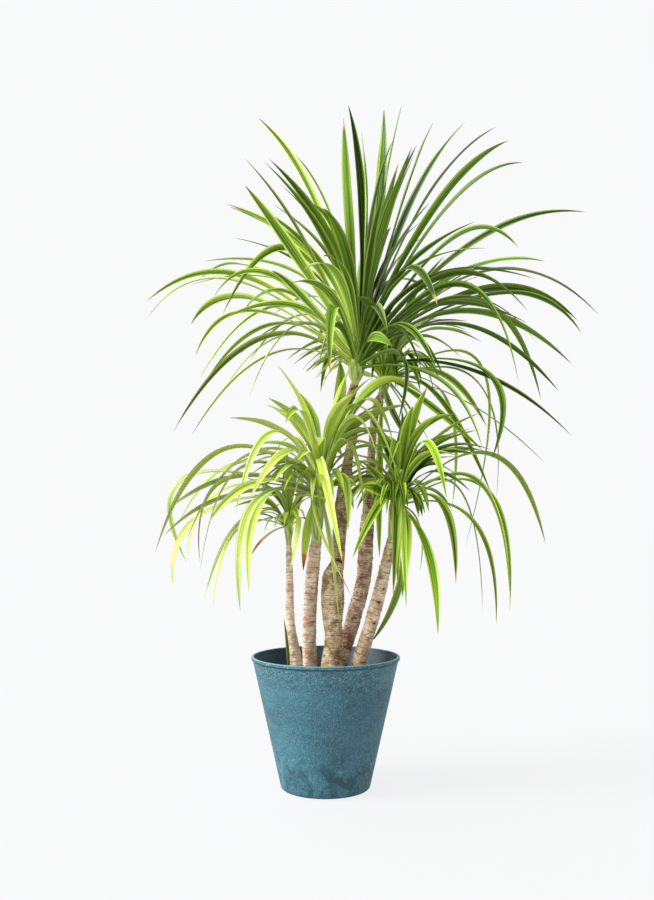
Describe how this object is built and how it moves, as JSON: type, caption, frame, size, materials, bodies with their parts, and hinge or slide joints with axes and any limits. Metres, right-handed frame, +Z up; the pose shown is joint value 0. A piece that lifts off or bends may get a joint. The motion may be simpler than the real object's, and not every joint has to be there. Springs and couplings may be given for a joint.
{
  "type": "potted dracaena",
  "caption": "Leafy house plant with bare ringed canes of several heights, each topped by a crown of long arching strap leaves, in soil in a tapered round pot with a rolled lip.",
  "frame": {"origin": "middle of the flat underside of the pot, on the floor", "axes": "+Z up; the front seen in the picture faces -Y, with the fullest crown leaning to +X"},
  "size_m": [1.0179, 0.7101, 1.6124],
  "materials": {
    "pot_stone": "matte, mottled like stone",
    "soil_earth": "rough, damp",
    "cane_bark_pale": "rough, ringed",
    "cane_bark_brown": "rough, ringed",
    "leaf_dark": "satin",
    "leaf_lime": "satin",
    "shoot_green": "satin"
  },
  "bodies": {
    "root": {"pot": "pot_stone", "soil": "soil_earth", "cane_tall": "cane_bark_pale", "cane_rear": "cane_bark_brown", "cane_left": "cane_bark_pale", "cane_thin": "cane_bark_pale", "cane_right": "cane_bark_pale", "crown_top": "leaf_dark", "crown_rear": "leaf_lime", "crown_left": "leaf_lime", "crown_small": "leaf_lime", "crown_right": "leaf_lime", "shoot": "shoot_green"}
  },
  "joints": []
}
